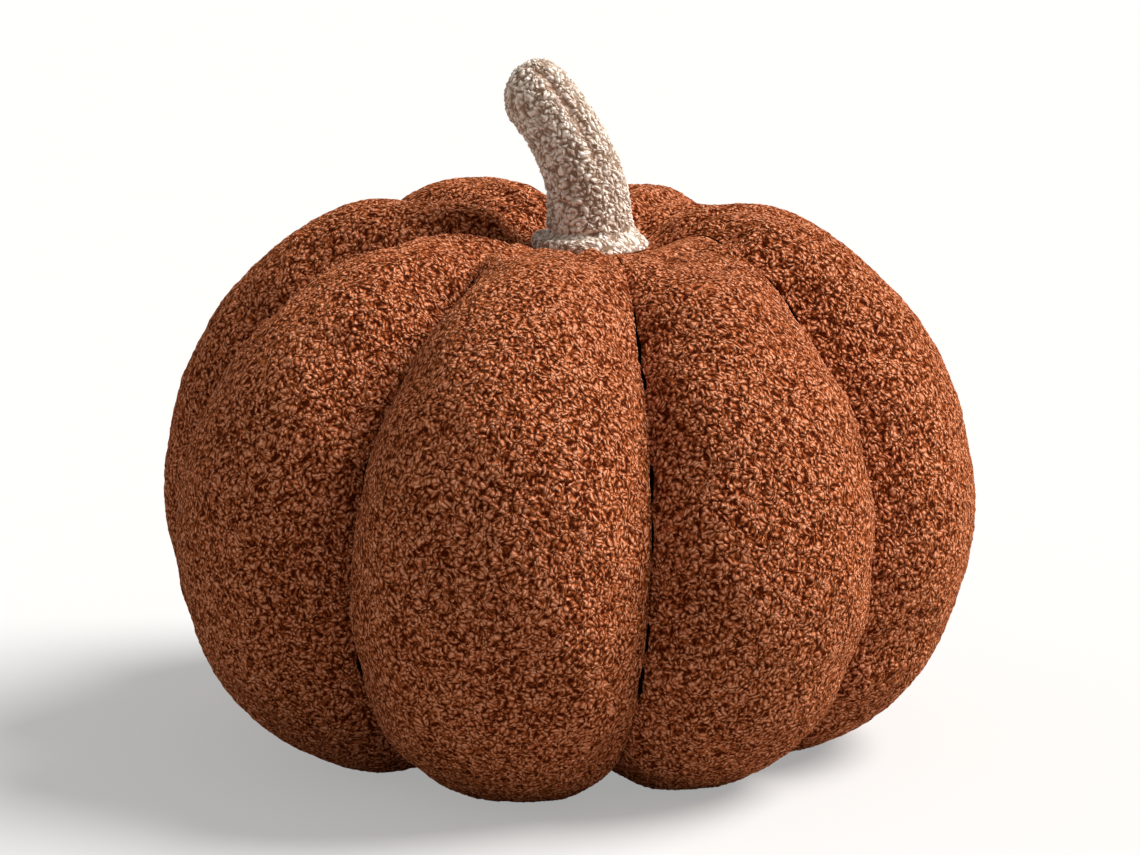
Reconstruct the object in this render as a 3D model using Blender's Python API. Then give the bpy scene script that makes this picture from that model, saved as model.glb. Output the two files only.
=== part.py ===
"""A stuffed pumpkin cushion in teddy fleece.

The body is one filled bag of eight gores, drawn in along its seams so that eight plump lobes stand between
eight deep creases. A stuffed, curved stem with a turned-out hem stands in the dimple on top.
Metres, +Z up, front towards -Y. The origin is under the middle of the body, on the surface it rests on.
"""

import bisect
import math
from collections import namedtuple

import bmesh
import bpy
from mathutils import Vector

# Driving sizes
HALF_WIDTH = 0.1762
BODY_HEIGHT = 0.2302

# The flat bed in the dimple that the stem's hem is stitched to
SEAT_RADIUS = 0.0290
SEAT_HEIGHT = 0.2154
SEAT_BLEND = 0.018
SEAT_SHIFT_X = 0.0088
SEAT_SHIFT_Y = 0.0012

# Rounding of a lobe between its two creases: 1 is a half ellipse, less is fuller
LOBE_FULLNESS = 0.93
STEPS_PER_LOBE = 12
ROWS = 44

# The meridian of a lobe's crest and of the crease beside it, from the top pole to the bottom one.
# Radii are shares of the half width and heights are shares of the body's height.
Station = namedtuple("Station", "crest_r crest_z seam_r seam_z")
STATIONS = [
    Station(0.000, 0.932, 0.000, 0.932),
    Station(0.120, 0.936, 0.110, 0.926),
    Station(0.288, 0.986, 0.240, 0.894),
    Station(0.483, 0.989, 0.401, 0.862),
    Station(0.660, 0.945, 0.559, 0.790),
    Station(0.866, 0.810, 0.693, 0.675),
    Station(0.985, 0.638, 0.771, 0.539),
    Station(1.026, 0.431, 0.795, 0.393),
    Station(0.958, 0.226, 0.760, 0.257),
    Station(0.837, 0.096, 0.661, 0.141),
    Station(0.660, 0.012, 0.526, 0.072),
    Station(0.450, -0.012, 0.390, 0.050),
    Station(0.280, 0.000, 0.250, 0.045),
    Station(0.120, 0.035, 0.110, 0.050),
    Station(0.000, 0.050, 0.000, 0.050),
]

# The eight lobes in order, from the one at the front and on to the right. The seam opens the lobe at that many
# degrees from the front and leans by so many more towards its top. Reach and crown scale the lobe's radius
# and its upper height.
Lobe = namedtuple("Lobe", "name seam_deg lean_deg reach crown")
LOBES = [
    Lobe("front", -36.3, 0.6, 1.020, 0.972),
    Lobe("front_right", 12.2, 2.5, 0.955, 0.951),
    Lobe("right", 56.6, 3.5, 0.967, 1.018),
    Lobe("back_right", 102.7, -1.9, 1.008, 0.992),
    Lobe("back", 137.1, 0.5, 1.000, 1.007),
    Lobe("back_left", 185.2, 0.4, 1.037, 1.023),
    Lobe("left", 237.4, 0.0, 0.992, 1.024),
    Lobe("front_left", 277.8, 3.1, 1.000, 0.986),
]

# The stem's sections from its underside to its tip: how far it leans out, how high it stands over its bed, its
# half width, and how far the end of its seam stands out on the inner side of the bend
StemSection = namedtuple("StemSection", "out up half_width corner")
STEM_SECTIONS = [
    StemSection(0.0000, 0.0000, 0.0000, 0.0),
    StemSection(0.0000, 0.0000, 0.0120, 0.0),
    StemSection(0.0000, 0.0000, 0.0240, 0.0),
    StemSection(0.0000, 0.0016, 0.0254, 0.0),
    StemSection(0.0000, 0.0046, 0.0250, 0.0),
    StemSection(0.0000, 0.0064, 0.0228, 0.0),
    StemSection(0.0001, 0.0074, 0.0200, 0.0),
    StemSection(0.0003, 0.0115, 0.0185, 0.0),
    StemSection(0.0008, 0.0190, 0.0178, 0.0),
    StemSection(0.0019, 0.0270, 0.0172, 0.0),
    StemSection(0.0046, 0.0355, 0.0166, 0.0),
    StemSection(0.0086, 0.0442, 0.0160, 0.0),
    StemSection(0.0135, 0.0530, 0.0156, 0.0003),
    StemSection(0.0180, 0.0600, 0.0153, 0.0012),
    StemSection(0.0226, 0.0668, 0.0147, 0.0020),
    StemSection(0.0266, 0.0722, 0.0124, 0.0008),
    StemSection(0.0296, 0.0758, 0.0080, 0.0),
    StemSection(0.0314, 0.0780, 0.0000, 0.0),
]
STEM_LEAN_DEG = 262.0
STEM_SEAM_DEG = 130.0
STEM_SEAM_DEPTH = 0.0009
STEM_SEAM_WIDTH = 0.16
CORNER_SHARPNESS = 12
STEM_SIDES = 36
STEM_ROWS = 40
TOUCH_GAP = 0.0003

FLEECE_RUST = (0.42, 0.115, 0.035, 1.0)
FLEECE_BEIGE = (0.62, 0.52, 0.43, 1.0)


def smooth_step(x):
    x = min(1.0, max(0.0, x))
    return x * x * (3 - 2 * x)


def on_curve(rows, place):
    """The values of a table at a fractional row, on a Catmull-Rom curve through its rows."""
    row = min(int(place), len(rows) - 2)
    t = place - row
    before, start = rows[max(row - 1, 0)], rows[row]
    end, after = rows[row + 1], rows[min(row + 2, len(rows) - 1)]
    return [
        0.5 * (2 * b + (c - a) * t + (2 * a - 5 * b + 4 * c - d) * t**2 + (3 * (b - c) + d - a) * t**3)
        for a, b, c, d in zip(before, start, end, after)
    ]


def even_places(rows, count, length_of):
    """count + 1 places along a table, spaced evenly along the curve that length_of measures."""
    fine = [i / 20 for i in range(20 * (len(rows) - 1) + 1)]
    points = [length_of(on_curve(rows, place)) for place in fine]
    along = [0.0]
    for a, b in zip(points, points[1:]):
        along.append(along[-1] + (b - a).length)
    places = []
    for i in range(count + 1):
        want = along[-1] * i / count
        j = min(max(bisect.bisect_left(along, want), 1), len(fine) - 1)
        share = (want - along[j - 1]) / (along[j] - along[j - 1])
        places.append(fine[j - 1] + (fine[j] - fine[j - 1]) * share)
    return places


def crest_point(values):
    return Vector((values[0] * HALF_WIDTH, values[1] * BODY_HEIGHT))


def seam_azimuth(index, seam_z):
    """How far round the seam in front of a lobe stands at a height, in degrees."""
    lobe = LOBES[index % len(LOBES)]
    return lobe.seam_deg + 360 * (index // len(LOBES)) + lobe.lean_deg * (2 * seam_z - 0.85)


def body_point(turn, place):
    """A point of the body's skin: turn goes round the lobes and place goes down the stations."""
    crest_r, crest_z, seam_r, seam_z = on_curve(STATIONS, place)
    index = int(turn)
    lobe = LOBES[index]
    theta = math.pi * (turn - index)
    before, after = seam_azimuth(index, seam_z), seam_azimuth(index + 1, seam_z)
    azimuth = math.radians(before + (after - before) * (1 - math.cos(theta)) / 2)
    bulge = math.sin(theta) ** LOBE_FULLNESS
    lift = 1 + (lobe.crown - 1) * smooth_step(crest_z)
    radius = HALF_WIDTH * (seam_r + (crest_r * lobe.reach - seam_r) * bulge)
    height = BODY_HEIGHT * (seam_z + (crest_z * lift - seam_z) * bulge)
    if height > BODY_HEIGHT / 2:
        height = SEAT_HEIGHT + (height - SEAT_HEIGHT) * smooth_step((radius - SEAT_RADIUS) / SEAT_BLEND)
    shift = (1 - radius / HALF_WIDTH) * smooth_step(height / BODY_HEIGHT)
    return Vector((
        radius * math.sin(azimuth) + SEAT_SHIFT_X * shift,
        -radius * math.cos(azimuth) + SEAT_SHIFT_Y * shift,
        max(height, 0.0),
    ))


def sphere_shares(vertex, turns):
    """A unit sphere's vertex as its turn about +Z, from 0 to turns, and its share of the way from top to bottom."""
    turn = math.atan2(vertex.co.y, vertex.co.x) / (2 * math.pi) % 1 * turns
    if abs(turn - round(turn)) < 1e-4:
        turn = round(turn) % turns
    return turn, math.acos(max(-1.0, min(1.0, vertex.co.z))) / math.pi


def make_body(material):
    places = even_places(STATIONS, ROWS, crest_point)
    shape = bmesh.new()
    bmesh.ops.create_uvsphere(shape, u_segments=STEPS_PER_LOBE * len(LOBES), v_segments=ROWS, radius=1)
    for vertex in shape.verts:
        turn, share = sphere_shares(vertex, len(LOBES))
        vertex.co = body_point(turn, places[round(share * ROWS)])
    return add_object("body", shape, material)


def section_spot(values):
    return Vector((values[0], values[1]))


def stem_point(turn, place):
    """A point of the stem's skin as it stands on its own origin and leans towards +X."""
    last = len(STEM_SECTIONS) - 1
    _, _, half_width, corner = on_curve(STEM_SECTIONS, place)
    centre = section_spot(on_curve(STEM_SECTIONS, place))
    behind = section_spot(on_curve(STEM_SECTIONS, max(place - 0.5, 2)))
    ahead = section_spot(on_curve(STEM_SECTIONS, min(max(place, 2) + 0.5, last)))
    along = (ahead - behind).normalized()
    angle = 2 * math.pi * turn
    off_seam = math.sin(angle - math.radians(STEM_SEAM_DEG)) / STEM_SEAM_WIDTH
    above_hem = smooth_step((centre.y - 0.007) / 0.006) * min(1, half_width / 0.01)
    reach = max(half_width, 0.0) - STEM_SEAM_DEPTH * math.exp(-off_seam**2) * above_hem
    reach += corner * max(0.0, math.cos(angle)) ** CORNER_SHARPNESS
    out = centre.x + reach * math.cos(angle) * along.y
    up = max(centre.y - reach * math.cos(angle) * along.x, 0.0)
    return Vector((out, reach * math.sin(angle), up))


def make_stem(material):
    places = even_places(STEM_SECTIONS, STEM_ROWS, lambda values: Vector(values[:3]))
    shape = bmesh.new()
    bmesh.ops.create_uvsphere(shape, u_segments=STEM_SIDES, v_segments=STEM_ROWS, radius=1)
    for vertex in shape.verts:
        turn, share = sphere_shares(vertex, 1)
        vertex.co = stem_point(turn, places[round((1 - share) * STEM_ROWS)])
    return add_object("stem", shape, material)


def place_stem(stem, body):
    """Stands the stem on the bed in the body's dimple and turns it the way it leans."""
    stem.parent = body
    stem.location = (SEAT_SHIFT_X, SEAT_SHIFT_Y, SEAT_HEIGHT + TOUCH_GAP)
    stem.rotation_euler.z = math.radians(STEM_LEAN_DEG - 90)


def centre_over_origin(body):
    """Moves the body so that the box round it is centred over the origin."""
    for axis in (0, 1):
        places = [vertex.co[axis] for vertex in body.data.vertices]
        body.location[axis] = -(min(places) + max(places)) / 2


def add_object(name, shape, material):
    bmesh.ops.recalc_face_normals(shape, faces=shape.faces)
    mesh = bpy.data.meshes.new(name)
    shape.to_mesh(mesh)
    shape.free()
    mesh.materials.append(material)
    mesh.shade_smooth()
    made = bpy.data.objects.new(name, mesh)
    bpy.data.collections["Pumpkin cushion"].objects.link(made)
    return made


def fleece(name, colour):
    """Matte looped fleece."""
    material = bpy.data.materials.new(name)
    material.use_nodes = True
    shader = material.node_tree.nodes["Principled BSDF"]
    shader.inputs["Base Color"].default_value = colour
    shader.inputs["Roughness"].default_value = 0.95
    shader.inputs["Metallic"].default_value = 0.0
    return material


def main():
    for old in list(bpy.data.objects):
        bpy.data.objects.remove(old)
    collection = bpy.data.collections.new("Pumpkin cushion")
    bpy.context.scene.collection.children.link(collection)
    body = make_body(fleece("rust fleece", FLEECE_RUST))
    stem = make_stem(fleece("beige fleece", FLEECE_BEIGE))
    place_stem(stem, body)
    centre_over_origin(body)


main()
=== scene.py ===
"""The looks of a stuffed pumpkin cushion in teddy fleece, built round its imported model.

Eight stuffed gores in rust fleece meet in eight drawn-in seams, and a stuffed stem in beige fleece stands
in the dimple on top. Metres, +Z up, front towards -Y.
"""

import bisect
import math
from collections import namedtuple

import bmesh
import bpy
import numpy as np
from bpy.props import FloatProperty, FloatVectorProperty, IntProperty, PointerProperty
from mathutils import Matrix, Vector


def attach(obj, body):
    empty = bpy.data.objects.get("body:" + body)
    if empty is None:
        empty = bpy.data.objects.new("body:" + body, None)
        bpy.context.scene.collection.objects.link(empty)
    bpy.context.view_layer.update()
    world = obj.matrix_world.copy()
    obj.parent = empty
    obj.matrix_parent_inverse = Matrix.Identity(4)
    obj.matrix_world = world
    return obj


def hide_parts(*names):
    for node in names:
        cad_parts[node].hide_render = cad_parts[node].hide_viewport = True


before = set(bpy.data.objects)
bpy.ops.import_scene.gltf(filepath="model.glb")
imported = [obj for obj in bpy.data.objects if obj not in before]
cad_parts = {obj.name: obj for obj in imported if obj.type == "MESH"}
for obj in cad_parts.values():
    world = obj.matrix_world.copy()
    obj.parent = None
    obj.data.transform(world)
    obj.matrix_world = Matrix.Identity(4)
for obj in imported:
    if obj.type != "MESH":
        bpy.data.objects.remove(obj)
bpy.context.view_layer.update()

bl_info = {
    "name": "Pumpkin Cushion",
    "version": (1, 0, 0),
    "blender": (4, 5, 0),
    "location": "View3D > Sidebar > Cushion",
    "description": "Builds a stuffed pumpkin cushion in curly teddy fleece",
    "category": "Add Mesh",
}

# The body's cut follows the part's source. The pile fills the bottom of its creases, and its crown is softer: the
# lobes rise close to the stem's hem, and most creases are shallow there and bend aside
HALF_WIDTH = 0.1762
BODY_HEIGHT = 0.2302
SEAT_RADIUS = 0.0272
SEAT_HEIGHT = 0.2154
SEAT_BLEND = 0.013
CREASE_OPENING = 0.10
CREASE_FILL = 0.30
CROWN_FILL = 0.42
HOOK_START = 0.52
HOOK_LENGTH = 0.30
GATHERS = (0.0011, 19, 31)
GATHERS_RADIUS = 0.052
GATHERS_SPREAD = 0.021
SEAT_SHIFT_X = 0.0088
SEAT_SHIFT_Y = 0.0012
LOBE_FULLNESS = 0.93
BODY_AT = Vector((0.00174, 0.00347, 0.0))
MIDDLE = Vector((0.0, 0.0, 0.11))

# The meridian of a lobe's crest and of the crease beside it, from the top pole to the bottom one
Station = namedtuple("Station", "crest_r crest_z seam_r seam_z")
STATIONS = [
    Station(0.000, 0.932, 0.000, 0.932),
    Station(0.120, 0.936, 0.110, 0.926),
    Station(0.288, 0.986, 0.240, 0.894),
    Station(0.483, 0.989, 0.401, 0.862),
    Station(0.660, 0.945, 0.559, 0.790),
    Station(0.866, 0.810, 0.693, 0.675),
    Station(0.985, 0.638, 0.771, 0.539),
    Station(1.026, 0.431, 0.795, 0.393),
    Station(0.958, 0.226, 0.760, 0.257),
    Station(0.837, 0.096, 0.661, 0.141),
    Station(0.660, 0.012, 0.526, 0.072),
    Station(0.450, -0.012, 0.390, 0.050),
    Station(0.280, 0.000, 0.250, 0.045),
    Station(0.120, 0.035, 0.110, 0.050),
    Station(0.000, 0.050, 0.000, 0.050),
]

# The eight lobes in order, from the one at the front and on to the right. A lobe's seam lies before it: hook_deg
# is how far that bends aside at the hem, and from full_from to full_at the crease grows to its full depth
Lobe = namedtuple("Lobe", "name seam_deg lean_deg reach crown hook_deg full_from full_at")
LOBES = [
    Lobe("front", -36.3, 0.6, 1.020, 0.984, -12.0, 0.20, 0.62),
    Lobe("front_right", 12.2, 2.5, 0.955, 0.958, 0.0, 0.26, 0.72),
    Lobe("right", 56.6, 3.5, 0.967, 1.010, 20.0, 0.30, 0.85),
    Lobe("back_right", 102.7, -1.9, 1.008, 0.992, 24.0, 0.30, 0.85),
    Lobe("back", 137.1, 0.5, 1.000, 1.007, 10.0, 0.20, 0.60),
    Lobe("back_left", 185.2, 0.4, 1.037, 1.023, 0.0, 0.15, 0.40),
    Lobe("left", 237.4, 0.0, 0.992, 1.024, 0.0, 0.10, 0.30),
    Lobe("front_left", 277.8, 3.1, 1.000, 0.986, 0.0, 0.10, 0.30),
]
SHALLOWEST = 0.26

# The stem's sections from its underside to its tip
StemSection = namedtuple("StemSection", "out up half_width corner")
STEM_SECTIONS = [
    StemSection(0.0000, 0.0000, 0.0000, 0.0),
    StemSection(0.0000, 0.0000, 0.0120, 0.0),
    StemSection(0.0000, 0.0000, 0.0240, 0.0),
    StemSection(0.0000, 0.0016, 0.0254, 0.0),
    StemSection(0.0000, 0.0046, 0.0250, 0.0),
    StemSection(0.0000, 0.0064, 0.0228, 0.0),
    StemSection(0.0001, 0.0074, 0.0200, 0.0),
    StemSection(0.0003, 0.0115, 0.0185, 0.0),
    StemSection(0.0008, 0.0190, 0.0178, 0.0),
    StemSection(0.0019, 0.0270, 0.0172, 0.0),
    StemSection(0.0046, 0.0355, 0.0166, 0.0),
    StemSection(0.0086, 0.0442, 0.0160, 0.0),
    StemSection(0.0135, 0.0530, 0.0156, 0.0003),
    StemSection(0.0180, 0.0600, 0.0153, 0.0012),
    StemSection(0.0226, 0.0668, 0.0147, 0.0020),
    StemSection(0.0266, 0.0722, 0.0124, 0.0008),
    StemSection(0.0296, 0.0758, 0.0080, 0.0),
    StemSection(0.0314, 0.0780, 0.0000, 0.0),
]
STEM_AT = Vector((0.01054, 0.00467, 0.2157))
STEM_TURN_DEG = 172.0
STEM_SEAM_DEG = 130.0
CORNER_SHARPNESS = 12

# How finely the skins are cut before their last two subdivisions
GORE_COLUMNS = 32
GORE_ROWS = 92
LINING_COLUMNS = 2
STEM_COLUMNS = 56
STEM_ROWS = 96
SUBDIVISIONS = 2


class CushionSizes(bpy.types.PropertyGroup):
    """Sizes of the stuffing and the pile."""

    pressure: FloatProperty(
        name="Stuffing pressure",
        description="How hard the stuffing presses the gores out while they settle",
        default=4.0,
    )
    slack: FloatProperty(
        name="Slack",
        description="Share by which the cloth is cut larger than the shape it is sewn to",
        default=0.03,
        subtype="FACTOR",
    )
    settle_frames: IntProperty(
        name="Settling time",
        description="Frames that the stuffed cloth settles for",
        default=20,
        subtype="TIME",
    )
    most_pucker: FloatProperty(
        name="Deepest pucker",
        description="How far the settling cloth may leave its pattern",
        default=0.0020,
        unit="LENGTH",
    )
    curl_width: FloatProperty(
        name="Curl width",
        description="Distance between neighbouring curls of the body's pile",
        default=0.00185,
        unit="LENGTH",
    )
    curl_length: FloatProperty(
        name="Curl length",
        description="Length of a curl of the body's pile",
        default=0.0038,
        unit="LENGTH",
    )
    curl_relief: FloatProperty(
        name="Curl relief",
        description="How far the curls of the body's pile stand out",
        default=0.0005,
        unit="LENGTH",
    )
    stem_curl_width: FloatProperty(
        name="Stem curl width",
        description="Distance between neighbouring curls of the stem's pile",
        default=0.0024,
        unit="LENGTH",
    )
    stem_curl_length: FloatProperty(
        name="Stem curl length",
        description="Length of a curl of the stem's pile",
        default=0.0042,
        unit="LENGTH",
    )
    stem_curl_relief: FloatProperty(
        name="Stem curl relief",
        description="How far the curls of the stem's pile stand out",
        default=0.0009,
        unit="LENGTH",
    )


class CushionColours(bpy.types.PropertyGroup):
    """Dyes of the two fleeces, with a painted highlight on the tops of their curls and painted shade in the gaps
    between, and the paint of the stage.
    """

    # The tops of the body's curls: the rust dye lightened by a painted highlight
    rust_tip_highlight: FloatVectorProperty(
        name="Rust tips",
        description="Dye on the tops of the body's curls",
        subtype="COLOR",
        size=4,
        default=(0.82, 0.35, 0.20, 1.0),
    )
    rust: FloatVectorProperty(
        name="Rust",
        description="Dye on the sides of the body's curls",
        subtype="COLOR",
        size=4,
        default=(0.40, 0.098, 0.028, 1.0),
    )
    # Painted shade: this near-black colour deep between the body's curls stands in for the shade that falls there
    rust_gap_shade: FloatVectorProperty(
        name="Rust gaps",
        description="Dye deep between the body's curls",
        subtype="COLOR",
        size=4,
        default=(0.055, 0.0055, 0.0004, 1.0),
    )
    rust_fuzz: FloatVectorProperty(
        name="Rust fuzz",
        description="Dye of the loose fibres that shine at the body's rims",
        subtype="COLOR",
        size=4,
        default=(0.90, 0.28, 0.08, 1.0),
    )
    # The tops of the stem's curls: the beige dye lightened by a painted highlight
    beige_tip_highlight: FloatVectorProperty(
        name="Beige tips",
        description="Dye on the tops of the stem's curls",
        subtype="COLOR",
        size=4,
        default=(1.0, 0.92, 0.85, 1.0),
    )
    beige: FloatVectorProperty(
        name="Beige",
        description="Dye on the sides of the stem's curls",
        subtype="COLOR",
        size=4,
        default=(0.72, 0.60, 0.50, 1.0),
    )
    # Painted shade: this dark colour deep between the stem's curls stands in for the shade that falls there
    beige_gap_shade: FloatVectorProperty(
        name="Beige gaps",
        description="Dye deep between the stem's curls",
        subtype="COLOR",
        size=4,
        default=(0.27, 0.17, 0.11, 1.0),
    )
    beige_fuzz: FloatVectorProperty(
        name="Beige fuzz",
        description="Dye of the loose fibres that shine at the stem's rims",
        subtype="COLOR",
        size=4,
        default=(0.95, 0.85, 0.76, 1.0),
    )
    seam_tint: FloatVectorProperty(
        name="Stem seam",
        description="Dye along the stem's seam",
        subtype="COLOR",
        size=4,
        default=(0.42, 0.25, 0.17, 1.0),
    )
    floor: FloatVectorProperty(
        name="Floor",
        description="Paint of the floor",
        subtype="COLOR",
        size=4,
        default=(0.41, 0.41, 0.407, 1.0),
    )


def smooth_step(x):
    x = min(1.0, max(0.0, x))
    return x * x * (3 - 2 * x)


def on_curve(rows, place):
    """The values of a table at a fractional row, on a Catmull-Rom curve through its rows."""
    row = min(int(place), len(rows) - 2)
    t = place - row
    before, start = rows[max(row - 1, 0)], rows[row]
    end, after = rows[row + 1], rows[min(row + 2, len(rows) - 1)]
    return [
        0.5 * (2 * b + (c - a) * t + (2 * a - 5 * b + 4 * c - d) * t**2 + (3 * (b - c) + d - a) * t**3)
        for a, b, c, d in zip(before, start, end, after)
    ]


def even_places(rows, count, length_of):
    """count + 1 places along a table, spaced evenly along the curve that length_of measures."""
    fine = [i / 20 for i in range(20 * (len(rows) - 1) + 1)]
    points = [length_of(on_curve(rows, place)) for place in fine]
    along = [0.0]
    for a, b in zip(points, points[1:]):
        along.append(along[-1] + (b - a).length)
    places = []
    for i in range(count + 1):
        want = along[-1] * i / count
        j = min(max(bisect.bisect_left(along, want), 1), len(fine) - 1)
        share = (want - along[j - 1]) / (along[j] - along[j - 1])
        places.append(fine[j - 1] + (fine[j] - fine[j - 1]) * share)
    return places


def crest_point(values):
    return Vector((values[0] * HALF_WIDTH, values[1] * BODY_HEIGHT))


def seam_azimuth(index, crest_r, seam_z):
    """How far round the seam before a lobe stands at a height, in degrees."""
    lobe = LOBES[index % len(LOBES)]
    hook = lobe.hook_deg * smooth_step((HOOK_START - crest_r) / HOOK_LENGTH) * (seam_z > 0.5)
    return lobe.seam_deg + 360 * (index // len(LOBES)) + lobe.lean_deg * (2 * seam_z - 0.85) + hook


def crease_depth(index, crest_r, seam_z):
    """The share of its full depth that the crease before a lobe has."""
    lobe = LOBES[index % len(LOBES)]
    if seam_z < 0.5:
        return 1.0
    return SHALLOWEST + (1 - SHALLOWEST) * smooth_step((crest_r - lobe.full_from) / (lobe.full_at - lobe.full_from))


def body_point(turn, place):
    """A point of the body's skin: turn goes round the lobes and place goes down the stations."""
    crest_r, crest_z, seam_r, seam_z = on_curve(STATIONS, place)
    index = int(turn)
    lobe = LOBES[index % len(LOBES)]
    theta = math.pi * (turn - index)
    before, after = (seam_azimuth(seam, crest_r, seam_z) for seam in (index, index + 1))
    round_share, even_share = (1 - math.cos(theta)) / 2, theta / math.pi
    share = round_share + (even_share - round_share) * CREASE_OPENING
    azimuth = math.radians(before + (after - before) * share)
    here, there = (crease_depth(seam, crest_r, seam_z) for seam in (index, index + 1))
    depth = here + (there - here) * smooth_step(even_share)
    fill = CREASE_FILL + (CROWN_FILL - CREASE_FILL) * (1 - depth)
    round_off = max(math.sin(theta), 0.0) ** LOBE_FULLNESS
    bulge = math.hypot(round_off, fill) / math.hypot(1, fill)
    beside = LOBES[(index + (1 if theta > math.pi / 2 else -1)) % len(LOBES)]
    reach = lobe.reach + (beside.reach - lobe.reach) * (1 - round_off) / 2
    crown = lobe.crown + (beside.crown - lobe.crown) * (1 - round_off) / 2
    seam_r = crest_r + (seam_r - crest_r) * depth
    seam_z = crest_z + (seam_z - crest_z) * depth
    lift = 1 + (crown - 1) * smooth_step(crest_z)
    radius = HALF_WIDTH * (seam_r + (crest_r * reach - seam_r) * bulge)
    height = BODY_HEIGHT * (seam_z + (crest_z * lift - seam_z) * bulge)
    if height > BODY_HEIGHT / 2:
        depth, *counts = GATHERS
        ripple = sum(math.sin(count * azimuth + count) for count in counts)
        height += depth * ripple * math.exp(-(((radius - GATHERS_RADIUS) / GATHERS_SPREAD) ** 2))
        height = SEAT_HEIGHT + (height - SEAT_HEIGHT) * smooth_step((radius - SEAT_RADIUS) / SEAT_BLEND)
    shift = (1 - radius / HALF_WIDTH) * smooth_step(height / BODY_HEIGHT)
    return BODY_AT + Vector((
        radius * math.sin(azimuth) + SEAT_SHIFT_X * shift,
        -radius * math.cos(azimuth) + SEAT_SHIFT_Y * shift,
        max(height, 0.0),
    ))


def section_spot(values):
    return Vector((values[0], values[1]))


def stem_point(turn, place):
    """A point of the stem's skin."""
    last = len(STEM_SECTIONS) - 1
    _, _, half_width, corner = on_curve(STEM_SECTIONS, place)
    centre = section_spot(on_curve(STEM_SECTIONS, place))
    behind = section_spot(on_curve(STEM_SECTIONS, max(place - 0.5, 2)))
    ahead = section_spot(on_curve(STEM_SECTIONS, min(max(place, 2) + 0.5, last)))
    along = (ahead - behind).normalized()
    angle = 2 * math.pi * turn
    reach = max(half_width, 0.0) - 0.0022 * stem_seam(turn, place)
    reach += corner * max(0.0, math.cos(angle)) ** CORNER_SHARPNESS
    left = smooth_step(0.3 + 1.2 * math.cos(angle - 0.6))
    reach -= 0.0026 * math.exp(-(((centre.y - 0.0082) / 0.0013) ** 2)) * left
    reach -= 0.0026 * math.exp(-(((centre.y - 0.0052) / 0.0022) ** 2)) * (1 - left)
    out = centre.x + reach * math.cos(angle) * along.y
    up = max(centre.y - reach * math.cos(angle) * along.x, 0.0)
    return Matrix.Rotation(math.radians(STEM_TURN_DEG), 3, "Z") @ Vector((out, reach * math.sin(angle), up)) + STEM_AT


def stem_seam(turn, place):
    """How much of the stem's seam lies at a point of its skin, from 0 to 1."""
    _, up, half_width, _ = on_curve(STEM_SECTIONS, place)
    across = math.sin(2 * math.pi * turn - math.radians(STEM_SEAM_DEG)) / 0.13
    facing = math.cos(2 * math.pi * turn - math.radians(STEM_SEAM_DEG)) > 0
    return math.exp(-(across**2)) * facing * smooth_step((up - 0.020) / 0.02) * min(1.0, half_width / 0.01)


def grid_spot(vertex, columns, rows):
    """The column and row of a sphere's vertex, columns counted round +Z and rows down from the top."""
    column = round(math.atan2(vertex.co.y, vertex.co.x) / (2 * math.pi) % 1 * columns) % columns
    row = round(math.acos(max(-1.0, min(1.0, vertex.co.z))) / math.pi * rows)
    return column, row


def sphere_grid(columns, rows, point_at):
    """A closed skin: a sphere whose vertices are moved to point_at(column, row)."""
    shape = bmesh.new()
    bmesh.ops.create_uvsphere(shape, u_segments=columns, v_segments=rows, radius=1)
    spots = [grid_spot(vertex, columns, rows) for vertex in shape.verts]
    for vertex, spot in zip(shape.verts, spots):
        vertex.co = point_at(*spot)
    bmesh.ops.recalc_face_normals(shape, faces=shape.faces)
    return shape, spots


def settle(shape, held, pressure, slack, frames):
    """Stuffs a closed skin as cloth, with the vertices in held sewn fast, and returns where its vertices come to."""
    mesh = bpy.data.meshes.new("settling")
    shape.to_mesh(mesh)
    bag = bpy.data.objects.new("settling", mesh)
    bpy.context.scene.collection.objects.link(bag)
    sewn = bag.vertex_groups.new(name="sewn")
    sewn.add(held, 1.0, "REPLACE")
    cloth = bag.modifiers.new("cloth", "CLOTH")
    cloth.settings.quality = 5
    cloth.settings.mass = 0.4
    cloth.settings.tension_stiffness = 15
    cloth.settings.compression_stiffness = 15
    cloth.settings.bending_stiffness = 1.5
    cloth.settings.use_pressure = True
    cloth.settings.uniform_pressure_force = pressure
    cloth.settings.shrink_min = -slack
    cloth.settings.vertex_group_mass = "sewn"
    cloth.settings.effector_weights.gravity = 0
    cloth.collision_settings.use_collision = False
    cloth.point_cache.frame_start = 1
    cloth.point_cache.frame_end = frames
    for moment in range(1, frames + 1):
        bpy.context.scene.frame_set(moment)
    settled = bag.evaluated_get(bpy.context.evaluated_depsgraph_get())
    places = np.empty(len(settled.data.vertices) * 3, np.float32)
    settled.data.vertices.foreach_get("co", places)
    bpy.data.objects.remove(bag)
    bpy.data.meshes.remove(mesh)
    bpy.context.scene.frame_set(1)
    return places.reshape(-1, 3).astype(float)


def blurred(grid, times):
    """A grid of values smoothed round its columns and along its rows."""
    for _ in range(times):
        ends = np.concatenate([grid[:1], grid, grid[-1:]])
        grid = (np.roll(grid, 1, 1) + np.roll(grid, -1, 1) + ends[:-2] + ends[2:]) / 4
    return grid


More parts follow.
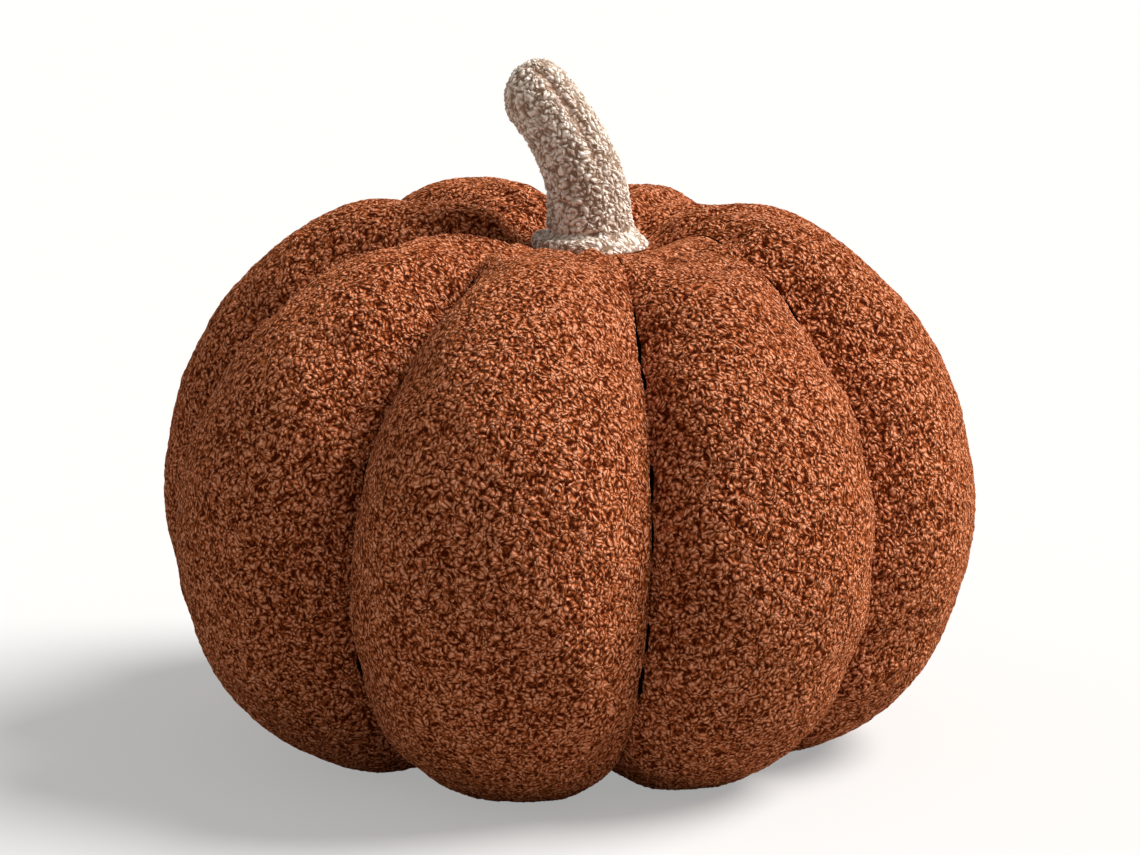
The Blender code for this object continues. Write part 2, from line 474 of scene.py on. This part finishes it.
def settled_body(sizes, places):
    """The whole bag's vertices by row and column, after its stuffed cloth has puckered along the seams."""
    columns = GORE_COLUMNS * len(LOBES)
    grid = np.empty((GORE_ROWS + 1, columns, 3))
    for row, place in enumerate(places):
        for column in range(columns):
            grid[row, column] = body_point(column / GORE_COLUMNS, place)

    def start(column, row):
        return Vector(grid[row, column])

    shape, spots = sphere_grid(columns, GORE_ROWS, start)
    held = [
        index
        for index, (column, row) in enumerate(spots)
        if column % GORE_COLUMNS == 0 or row < 12 or row > GORE_ROWS - 14
    ]
    moved = settle(shape, held, sizes.pressure, sizes.slack, sizes.settle_frames)
    shape.free()
    drift = np.zeros_like(grid)
    for (column, row), place in zip(spots, moved):
        drift[row, column] = place - grid[row, column]
    drift -= blurred(drift, 60)
    length = np.linalg.norm(drift, axis=2, keepdims=True)
    drift *= sizes.most_pucker * np.tanh(length / sizes.most_pucker) / np.maximum(length, 1e-9)
    across = np.arange(columns) % GORE_COLUMNS
    across = np.minimum(across, GORE_COLUMNS - across)
    drift = blurred(drift, 1) * np.clip(across / 4, 0, 1)[None, :, None]
    grid += drift
    grid[:, :, 2] = np.maximum(grid[:, :, 2], 0)
    return grid


def outward_grid(grid):
    """Which way the whole bag's skin faces at each vertex, by row and column."""
    round_way = np.roll(grid, -1, 1) - np.roll(grid, 1, 1)
    ends = np.concatenate([grid[:1], grid, grid[-1:]])
    facing = np.cross(ends[:-2] - ends[2:], round_way)
    facing[0] = (0, 0, -1)
    facing[-1] = (0, 0, 1)
    return -facing / np.linalg.norm(facing, axis=2, keepdims=True)


def node(tree, kind, inputs=None, **settings):
    """Adds a node with its settings, and links or sets its inputs by name or number."""
    made = tree.nodes.new(kind)
    for name, value in settings.items():
        setattr(made, name, value)
    for key, value in (inputs or {}).items():
        if isinstance(value, bpy.types.NodeSocket):
            tree.links.new(value, made.inputs[key])
        else:
            made.inputs[key].default_value = value
    return made


def maths(tree, operation, *values, clamp=False):
    return node(tree, "ShaderNodeMath", dict(enumerate(values)), operation=operation, use_clamp=clamp).outputs[0]


def vectors(tree, operation, a, b):
    return node(tree, "ShaderNodeVectorMath", {0: a, 1: b}, operation=operation).outputs["Vector"]


def new_group(name, kind, takes, gives):
    """A node group with its sockets, and its input and output nodes."""
    tree = bpy.data.node_groups.new(name, kind)
    for way, sockets in (("INPUT", takes), ("OUTPUT", gives)):
        for label, socket, *default in sockets:
            made = tree.interface.new_socket(label, in_out=way, socket_type="NodeSocket" + socket)
            if default:
                made.default_value = default[0]
    return tree, tree.nodes.new("NodeGroupInput").outputs, tree.nodes.new("NodeGroupOutput").inputs


def curly_pile(kind):
    """Curls of pile: short bent strands that lie in small tufts, each tuft combed its own way, two layers deep.

    The same nodes give the relief of the mesh and the finish, so that both show the same curls."""
    tree, given, wanted = new_group(
        "Curly pile " + ("relief" if kind == "GeometryNodeTree" else "finish"),
        kind,
        [("Vector", "Vector"), ("Curl Width", "Float", 2.1), ("Curl Length", "Float", 4.6), ("Bend", "Float", 4.0)],
        [("Height", "Float"), ("Gap", "Float")],
    )
    place = vectors(tree, "MULTIPLY", given["Vector"], (1000, 1000, 1000))
    sway = node(tree, "ShaderNodeTexNoise", {"Vector": place, "Scale": 0.2, "Detail": 1.0, "Roughness": 0.6})
    sway = vectors(tree, "SUBTRACT", sway.outputs["Color"], (0.5, 0.5, 0.5))
    bend = node(tree, "ShaderNodeCombineXYZ", {0: given["Bend"], 1: given["Bend"], 2: given["Bend"]})
    swayed = vectors(tree, "ADD", place, vectors(tree, "MULTIPLY", sway, bend.outputs[0]))
    stretch = node(
        tree, "ShaderNodeCombineXYZ", {0: given["Curl Width"], 1: given["Curl Length"], 2: given["Curl Width"]}
    )
    layers = []
    for apart, top in ((0.0, 1.0), (37.0, 0.8)):
        spot = vectors(tree, "ADD", swayed, (apart, apart, apart))
        tuft = node(tree, "ShaderNodeTexVoronoi", {"Vector": spot, "Scale": 0.24, "Randomness": 1.0})
        comb = vectors(tree, "MULTIPLY", tuft.outputs["Color"], (6.283, 6.283, 6.283))
        combed = node(
            tree, "ShaderNodeVectorRotate", {"Vector": spot, "Rotation": comb}, rotation_type="EULER_XYZ"
        ).outputs["Vector"]
        strand = vectors(tree, "DIVIDE", combed, stretch.outputs[0])
        curl = node(tree, "ShaderNodeTexVoronoi", {"Vector": strand, "Scale": 1.0, "Randomness": 0.85})
        layer = node(
            tree,
            "ShaderNodeMapRange",
            {"Value": curl.outputs["Distance"], "From Min": 0.66, "From Max": 0.08, "To Max": top},
            interpolation_type="SMOOTHSTEP",
        )
        layers.append(layer.outputs["Result"])
    height = maths(tree, "MAXIMUM", *layers)
    tree.links.new(height, wanted["Height"])
    tree.links.new(maths(tree, "SUBTRACT", 1.0, height), wanted["Gap"])
    return tree


def dye_variation():
    """Uneven take-up of the dye, in broad clouds and from curl to curl."""
    tree, given, wanted = new_group(
        "Dye variation",
        "ShaderNodeTree",
        [("Color", "Color"), ("Vector", "Vector"), ("Amount", "Float", 0.12)],
        [("Color", "Color")],
    )
    clouds = node(tree, "ShaderNodeTexNoise", {"Vector": given["Vector"], "Scale": 22.0, "Detail": 3.0})
    specks = node(tree, "ShaderNodeTexNoise", {"Vector": given["Vector"], "Scale": 300.0, "Detail": 1.0})
    both = maths(tree, "ADD", clouds.outputs[0], specks.outputs[0])
    value = maths(tree, "MULTIPLY_ADD", maths(tree, "SUBTRACT", both, 1.0), given["Amount"], 1.0)
    tinted = node(tree, "ShaderNodeHueSaturation", {"Color": given["Color"], "Value": value})
    tree.links.new(tinted.outputs["Color"], wanted["Color"])
    return tree


def fleece(name, tip, side, gap, fuzz, curl_width, curl_length, seam_tint, depth):
    """Teddy fleece: matte curls whose colour goes from painted shade in the gaps between them, over the dye on their
    sides, to a painted highlight on their tips.
    """
    material = bpy.data.materials.new(name)
    material.use_nodes = True
    tree = material.node_tree
    shader = tree.nodes["Principled BSDF"]
    place = node(tree, "ShaderNodeAttribute", attribute_name="pattern_place").outputs["Vector"]
    pile = node(
        tree,
        "ShaderNodeGroup",
        node_tree=bpy.data.node_groups["Curly pile finish"],
    )
    tree.links.new(place, pile.inputs["Vector"])
    pile.inputs["Curl Width"].default_value = curl_width * 1000
    pile.inputs["Curl Length"].default_value = curl_length * 1000
    fibres = node(tree, "ShaderNodeTexNoise", {"Vector": place, "Scale": 1600.0, "Detail": 1.0}).outputs[0]
    height = maths(tree, "MULTIPLY_ADD", fibres, 0.18, pile.outputs["Height"])
    # By the pile's height, the ramp paints shade into the low places between the curls and a highlight onto their
    # tops
    colours = node(tree, "ShaderNodeValToRGB", {"Fac": height})
    ramp = colours.color_ramp
    ramp.elements[0].position = 0.10
    ramp.elements[0].color = gap
    ramp.elements[1].position = 1.0
    ramp.elements[1].color = tip
    ramp.elements.new(0.50).color = side
    dyed = node(
        tree,
        "ShaderNodeGroup",
        node_tree=bpy.data.node_groups["Dye variation"],
    )
    tree.links.new(colours.outputs["Color"], dyed.inputs["Color"])
    tree.links.new(place, dyed.inputs["Vector"])
    seam = node(tree, "ShaderNodeAttribute", attribute_name="seam").outputs["Fac"]
    colour = node(
        tree,
        "ShaderNodeMix",
        {"Factor": maths(tree, "MULTIPLY", seam, 0.7), 6: dyed.outputs["Color"], 7: seam_tint},
        data_type="RGBA",
    ).outputs[2]
    tree.links.new(colour, shader.inputs["Base Color"])
    rough = node(
        tree, "ShaderNodeMapRange", {"Value": pile.outputs["Gap"], "To Min": 0.82, "To Max": 1.0}
    ).outputs["Result"]
    tree.links.new(rough, shader.inputs["Roughness"])
    bump = node(tree, "ShaderNodeBump", {"Strength": 1.0, "Distance": depth, "Height": height})
    tree.links.new(bump.outputs["Normal"], shader.inputs["Normal"])
    shader.inputs["Specular IOR Level"].default_value = 0.05
    shader.inputs["Sheen Weight"].default_value = 0.4
    shader.inputs["Sheen Roughness"].default_value = 0.35
    shader.inputs["Sheen Tint"].default_value = tuple(fuzz)
    return material


def pile_relief(name, curl_width, curl_length, curl_relief, clump_relief, lump_relief):
    """Geometry nodes that raise a skin's pile along its attribute "outward", by as much as its attribute "free"
    allows, and press it flat on the floor."""
    tree, given, wanted = new_group(
        name, "GeometryNodeTree", [("Geometry", "Geometry")], [("Geometry", "Geometry")]
    )
    tree.is_modifier = True
    place = tree.nodes.new("GeometryNodeInputPosition").outputs[0]
    kept = node(
        tree,
        "GeometryNodeStoreNamedAttribute",
        {"Geometry": given["Geometry"], "Name": "pattern_place", "Value": place},
        data_type="FLOAT_VECTOR",
        domain="POINT",
    )
    pile = node(tree, "GeometryNodeGroup", node_tree=bpy.data.node_groups["Curly pile relief"])
    tree.links.new(place, pile.inputs["Vector"])
    pile.inputs["Curl Width"].default_value = curl_width * 1000
    pile.inputs["Curl Length"].default_value = curl_length * 1000
    curls = maths(tree, "MULTIPLY", maths(tree, "SUBTRACT", pile.outputs["Height"], 0.35), curl_relief)
    clumps = node(tree, "ShaderNodeTexNoise", {"Vector": place, "Scale": 170.0, "Detail": 1.0}).outputs[0]
    clumps = maths(tree, "MULTIPLY", maths(tree, "SUBTRACT", clumps, 0.5), clump_relief)
    lumps = node(tree, "ShaderNodeTexNoise", {"Vector": place, "Scale": 32.0, "Detail": 1.0}).outputs[0]
    lumps = maths(tree, "MULTIPLY", maths(tree, "SUBTRACT", lumps, 0.5), lump_relief)
    free = node(tree, "GeometryNodeInputNamedAttribute", {"Name": "free"}, data_type="FLOAT").outputs["Attribute"]
    raised = maths(tree, "MULTIPLY", maths(tree, "ADD", curls, maths(tree, "ADD", clumps, lumps)), free)
    outward = node(tree, "GeometryNodeInputNamedAttribute", {"Name": "outward"}, data_type="FLOAT_VECTOR")
    outward = node(tree, "ShaderNodeVectorMath", {0: outward.outputs["Attribute"]}, operation="NORMALIZE")
    offset = node(
        tree, "ShaderNodeVectorMath", {0: outward.outputs["Vector"], "Scale": raised}, operation="SCALE"
    ).outputs["Vector"]
    moved = node(tree, "GeometryNodeSetPosition", {"Geometry": kept.outputs["Geometry"], "Offset": offset})
    corner = node(tree, "ShaderNodeSeparateXYZ", {0: tree.nodes.new("GeometryNodeInputPosition").outputs[0]})
    above = node(
        tree,
        "ShaderNodeCombineXYZ",
        {0: corner.outputs[0], 1: corner.outputs[1], 2: maths(tree, "MAXIMUM", corner.outputs[2], 0.0)},
    )
    pressed = node(
        tree, "GeometryNodeSetPosition", {"Geometry": moved.outputs["Geometry"], "Position": above.outputs[0]}
    )
    tree.links.new(pressed.outputs["Geometry"], wanted["Geometry"])
    return tree


def sewn_piece(name, shape, frees, seams, outwards, relief, material, node_name):
    """Makes a finished stuffed piece of a closed skin: frees, seams and outwards go by vertex."""
    mesh = bpy.data.meshes.new(name)
    shape.to_mesh(mesh)
    shape.free()
    mesh.materials.append(material)
    mesh.attributes.new("free", "FLOAT", "POINT").data.foreach_set("value", frees)
    mesh.attributes.new("seam", "FLOAT", "POINT").data.foreach_set("value", seams)
    mesh.attributes.new("outward", "FLOAT_VECTOR", "POINT").data.foreach_set("vector", np.ravel(outwards))
    piece = bpy.data.objects.new(name, mesh)
    bpy.context.scene.collection.objects.link(piece)
    finer = piece.modifiers.new("finer", "SUBSURF")
    finer.levels = SUBDIVISIONS
    finer.render_levels = SUBDIVISIONS
    pile = piece.modifiers.new("pile", "NODES")
    pile.node_group = relief
    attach(piece, "root")
    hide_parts(node_name)
    return piece


def need(names):
    """Stops with a plain message if something that an operator builds on isn't there."""
    missing = [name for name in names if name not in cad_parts]
    if missing:
        raise RuntimeError(f"the packed model has no {', '.join(missing)}")


def pile_groups():
    """The node groups that the two fleeces share, made once."""
    if "Curly pile finish" not in bpy.data.node_groups:
        curly_pile("ShaderNodeTree")
        curly_pile("GeometryNodeTree")
        dye_variation()


class CUSHION_OT_gores(bpy.types.Operator):
    """Sew and stuff the eight gores of the body"""

    bl_idname = "cushion.gores"
    bl_label = "Body gores"

    def execute(self, context):
        need(["body"])
        pile_groups()
        sizes, colours = context.scene.cushion_sizes, context.scene.cushion_colours
        places = even_places(STATIONS, GORE_ROWS, crest_point)
        grid = settled_body(sizes, places)
        facing = outward_grid(grid)
        material = fleece(
            "rust fleece", colours.rust_tip_highlight, colours.rust, colours.rust_gap_shade, colours.rust_fuzz,
            sizes.curl_width, sizes.curl_length, colours.rust_gap_shade, 0.0011,
        )
        relief = pile_relief("Rust pile", sizes.curl_width, sizes.curl_length, sizes.curl_relief, 0.0013, 0.003)
        columns = GORE_COLUMNS * len(LOBES)
        for index, lobe in enumerate(LOBES):

            def outer(column, row):
                return Vector(grid[row, (index * GORE_COLUMNS + column) % columns])

            def point_at(column, row):
                if column <= GORE_COLUMNS or row in (0, GORE_ROWS):
                    return outer(min(column, GORE_COLUMNS), row)
                share = (column - GORE_COLUMNS) / LINING_COLUMNS
                lining = outer(GORE_COLUMNS, row).lerp(outer(0, row), share)
                return lining + (MIDDLE - lining).normalized() * 0.004

            shape, spots = sphere_grid(GORE_COLUMNS + LINING_COLUMNS, GORE_ROWS, point_at)
            frees = []
            outwards = []
            for (column, row), vertex in zip(spots, shape.verts):
                outwards.append(facing[row, (index * GORE_COLUMNS + min(column, GORE_COLUMNS)) % columns])
                to_seam = min((vertex.co - outer(0, row)).length, (vertex.co - outer(GORE_COLUMNS, row)).length)
                off_bed = Vector((vertex.co.x - STEM_AT.x, vertex.co.y - STEM_AT.y)).length
                under = vertex.co.z > BODY_HEIGHT / 2 and off_bed < 0.027
                free = 0.5 + 0.5 * smooth_step(to_seam / 0.004)
                frees.append(0.0 if under or column > GORE_COLUMNS or row in (0, GORE_ROWS) else free)
            sharp = shape.edges.layers.float.new("crease_edge")
            corner = shape.verts.layers.float.new("crease_vert")
            for edge in shape.edges:
                ends = [spots[vertex.index] for vertex in edge.verts]
                if all(column in (0, GORE_COLUMNS) or row in (0, GORE_ROWS) for column, row in ends):
                    if edge.verts[0].co != edge.verts[1].co:
                        edge[sharp] = 1.0
                        edge.smooth = False
            for (column, row), vertex in zip(spots, shape.verts):
                vertex[corner] = float(row in (0, GORE_ROWS))
            seams = [0.0] * len(frees)
            sewn_piece(
                "gore_" + lobe.name, shape, frees, seams, outwards, relief, material, "body"
            )
        return {"FINISHED"}


class CUSHION_OT_stem(bpy.types.Operator):
    """Sew and stuff the stem with its turned-out hem"""

    bl_idname = "cushion.stem"
    bl_label = "Stem"

    def execute(self, context):
        need(["stem"])
        pile_groups()
        sizes, colours = context.scene.cushion_sizes, context.scene.cushion_colours
        places = even_places(STEM_SECTIONS, STEM_ROWS, lambda values: Vector(values[:3]))

        def point_at(column, row):
            return stem_point(column / STEM_COLUMNS, places[STEM_ROWS - row])

        shape, spots = sphere_grid(STEM_COLUMNS, STEM_ROWS, point_at)
        seams = [stem_seam(column / STEM_COLUMNS, places[STEM_ROWS - row]) for column, row in spots]
        frees = [
            smooth_step((vertex.co.z - STEM_AT.z) / 0.0015)
            * (0.45 + 0.55 * smooth_step((vertex.co.z - STEM_AT.z - 0.006) / 0.004))
            for vertex in shape.verts
        ]
        material = fleece(
            "beige fleece", colours.beige_tip_highlight, colours.beige, colours.beige_gap_shade, colours.beige_fuzz,
            sizes.stem_curl_width, sizes.stem_curl_length, colours.seam_tint, 0.0005,
        )
        relief = pile_relief(
            "Beige pile", sizes.stem_curl_width, sizes.stem_curl_length, sizes.stem_curl_relief, 0.0008, 0.001
        )
        shape.normal_update()
        outwards = [vertex.normal[:] for vertex in shape.verts]
        sewn_piece("stem_sleeve", shape, frees, seams, outwards, relief, material, "stem")
        return {"FINISHED"}


class CUSHION_OT_stage(bpy.types.Operator):
    """Set the pale floor, the soft lights and the camera"""

    bl_idname = "cushion.stage"
    bl_label = "Floor, lights and camera"

    def execute(self, context):
        scene = context.scene
        shape = bmesh.new()
        bmesh.ops.create_circle(shape, cap_ends=True, segments=96, radius=14.0)
        mesh = bpy.data.meshes.new("floor")
        shape.to_mesh(mesh)
        shape.free()
        floor = bpy.data.objects.new("floor", mesh)
        scene.collection.objects.link(floor)
        mesh.materials.append(floor_paint(scene.cushion_colours.floor))
        sky(scene)
        soft_light("window light", 100.0, 46.0, 5.7, 36.0)
        soft_light("back light", 250.0, 6.0, 0.55, 40.0)
        camera = bpy.data.objects.new("camera", bpy.data.cameras.new("camera"))
        camera.data.lens = 158.86
        camera.data.sensor_width = 36.0
        camera.location = (0.0, -2.12917, 0.60058)
        aim = Vector((0.0019, 0.0, 0.1370)) - camera.location
        camera.rotation_euler = aim.to_track_quat("-Z", "Y").to_euler()
        scene.collection.objects.link(camera)
        scene.camera = camera
        scene.view_settings.view_transform = "Standard"
        return {"FINISHED"}


def floor_paint(colour):
    """Pale matt paint, lit a little from below in the picture for a soft shadow, that throws little light back up."""
    material = bpy.data.materials.new("floor paint")
    material.use_nodes = True
    tree = material.node_tree
    shader = tree.nodes["Principled BSDF"]
    seen = tree.nodes.new("ShaderNodeLightPath").outputs["Is Camera Ray"]
    mixed = node(
        tree, "ShaderNodeMix", {"Factor": seen, 6: (0.44, 0.41, 0.38, 1.0), 7: tuple(colour)}, data_type="RGBA"
    )
    tree.links.new(mixed.outputs[2], shader.inputs["Base Color"])
    shader.inputs["Emission Color"].default_value = (1.0, 1.0, 0.99, 1.0)
    tree.links.new(maths(tree, "MULTIPLY", seen, 0.36), shader.inputs["Emission Strength"])
    shader.inputs["Roughness"].default_value = 0.9
    shader.inputs["Specular IOR Level"].default_value = 0.1
    return material


def sky(scene):
    """Even light from all round, with a brighter backdrop where the camera looks past the floor."""
    world = bpy.data.worlds.new("studio")
    scene.world = world
    world.use_nodes = True
    tree = world.node_tree
    background = tree.nodes["Background"]
    background.inputs["Color"].default_value = (1.0, 0.99, 0.97, 1.0)
    seen = tree.nodes.new("ShaderNodeLightPath").outputs["Is Camera Ray"]
    strength = node(tree, "ShaderNodeMapRange", {"Value": seen, "To Min": 0.26, "To Max": 0.9})
    tree.links.new(strength.outputs["Result"], background.inputs["Strength"])


def soft_light(name, azimuth, elevation, strength, spread):
    """Broad even light from one side: azimuth counts from the front round by the right, in degrees."""
    light = bpy.data.lights.new(name, "SUN")
    light.energy = strength
    light.angle = math.radians(spread)
    light.color = (1.0, 0.98, 0.955)
    lamp = bpy.data.objects.new(name, light)
    turn, rise = math.radians(azimuth), math.radians(elevation)
    way = Vector((math.sin(turn) * math.cos(rise), -math.cos(turn) * math.cos(rise), math.sin(rise)))
    lamp.location = 2 * way
    lamp.rotation_euler = (-way).to_track_quat("-Z", "Y").to_euler()
    bpy.context.scene.collection.objects.link(lamp)


class CUSHION_PT_panel(bpy.types.Panel):
    """The cushion's pieces, sizes and colours"""

    bl_label = "Pumpkin cushion"
    bl_idname = "CUSHION_PT_panel"
    bl_space_type = "VIEW_3D"
    bl_region_type = "UI"
    bl_category = "Cushion"

    def draw(self, context):
        for operator in OPERATORS:
            self.layout.operator(operator.bl_idname)
        for group in (context.scene.cushion_sizes, context.scene.cushion_colours):
            for name in group.bl_rna.properties.keys():
                if name not in ("rna_type", "name"):
                    self.layout.prop(group, name)


OPERATORS = (CUSHION_OT_gores, CUSHION_OT_stem, CUSHION_OT_stage)
CLASSES = (CushionSizes, CushionColours, *OPERATORS, CUSHION_PT_panel)


def register():
    for made in CLASSES:
        bpy.utils.register_class(made)
    bpy.types.Scene.cushion_sizes = PointerProperty(type=CushionSizes)
    bpy.types.Scene.cushion_colours = PointerProperty(type=CushionColours)


def unregister():
    del bpy.types.Scene.cushion_colours
    del bpy.types.Scene.cushion_sizes
    for made in reversed(CLASSES):
        bpy.utils.unregister_class(made)


def main():
    register()
    bpy.ops.cushion.gores()
    bpy.ops.cushion.stem()
    bpy.ops.cushion.stage()


if __name__ == "__main__":
    main()
